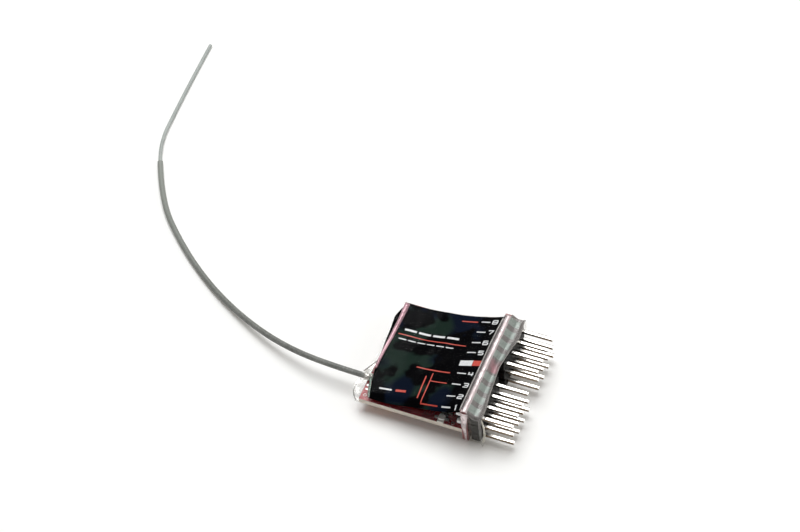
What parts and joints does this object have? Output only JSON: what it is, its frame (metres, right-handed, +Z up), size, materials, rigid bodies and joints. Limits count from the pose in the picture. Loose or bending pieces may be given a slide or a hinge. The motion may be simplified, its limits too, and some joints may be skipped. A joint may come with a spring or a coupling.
{
  "type": "rc receiver",
  "caption": "Small radio control receiver: two circuit boards in a clear sleeve under a black label, with square servo pins at one end and a grey coaxial aerial at the other.",
  "frame": {"origin": "middle of the flat underside, half way between the sleeve's open end and the pin tips, without the aerial", "axes": "+X from the aerial end to the pin tips, +Y from channel 1 to channel 8, +Z up from the underside to the label"},
  "size_m": [0.0918, 0.0712, 0.0091],
  "materials": {
    "red_board": "glossy solder resist",
    "black_moulding": "moulded",
    "pin_metal": "bright tin over brass",
    "solder": "bright tin solder",
    "label": "glossy printed film",
    "clear_film": "clear heat-shrink film",
    "grey_jacket": "satin",
    "pale_insulation": "satin",
    "copper_core": "tinned copper",
    "chip_black": "moulded epoxy",
    "can_metal": "satin",
    "pale_ceramic": "fired",
    "brown_ceramic": "fired",
    "black_ceramic": "fired",
    "clear_lens": "clear resin",
    "capacitor_yellow": "moulded"
  },
  "bodies": {
    "root": {"aerial_braid_joint": "solder", "aerial_coax": "grey_jacket", "aerial_core": "copper_core", "aerial_core_joint": "solder", "aerial_filter": "pale_ceramic", "aerial_tip": "pale_insulation", "board_solder": "solder", "bulk_capacitor_far": "capacitor_yellow", "bulk_capacitor_near": "capacitor_yellow", "ceramic_capacitors": "brown_ceramic", "chip_resistors": "black_ceramic", "controller_chip": "chip_black", "crystal_base": "pale_ceramic", "crystal_lid": "can_metal", "header_block_far": "black_moulding", "header_block_near": "black_moulding", "header_board": "red_board", "heat_shrink_sleeve": "clear_film", "label_sheet": "label", "main_board": "red_board", "memory_chip": "chip_black", "pin_channel_1_ground": "pin_metal", "pin_channel_1_power": "pin_metal", "pin_channel_1_signal": "pin_metal", "pin_channel_2_ground": "pin_metal", "pin_channel_2_power": "pin_metal", "pin_channel_2_signal": "pin_metal", "pin_channel_3_ground": "pin_metal", "pin_channel_3_power": "pin_metal", "pin_channel_3_signal": "pin_metal", "pin_channel_4_ground": "pin_metal", "pin_channel_4_power": "pin_metal", "pin_channel_4_signal": "pin_metal", "pin_channel_5_ground": "pin_metal", "pin_channel_5_power": "pin_metal", "pin_channel_5_signal": "pin_metal", "pin_channel_6_ground": "pin_metal", "pin_channel_6_power": "pin_metal", "pin_channel_6_signal": "pin_metal", "pin_channel_7_ground": "pin_metal", "pin_channel_7_power": "pin_metal", "pin_channel_7_signal": "pin_metal", "pin_channel_8_ground": "pin_metal", "pin_channel_8_power": "pin_metal", "pin_channel_8_signal": "pin_metal", "pin_solder_ground": "solder", "pin_solder_power": "solder", "pin_solder_signal": "solder", "power_inductor": "black_ceramic", "status_led": "clear_lens", "transceiver_chip": "chip_black", "transistor": "chip_black", "voltage_regulator": "chip_black"}
  },
  "joints": []
}
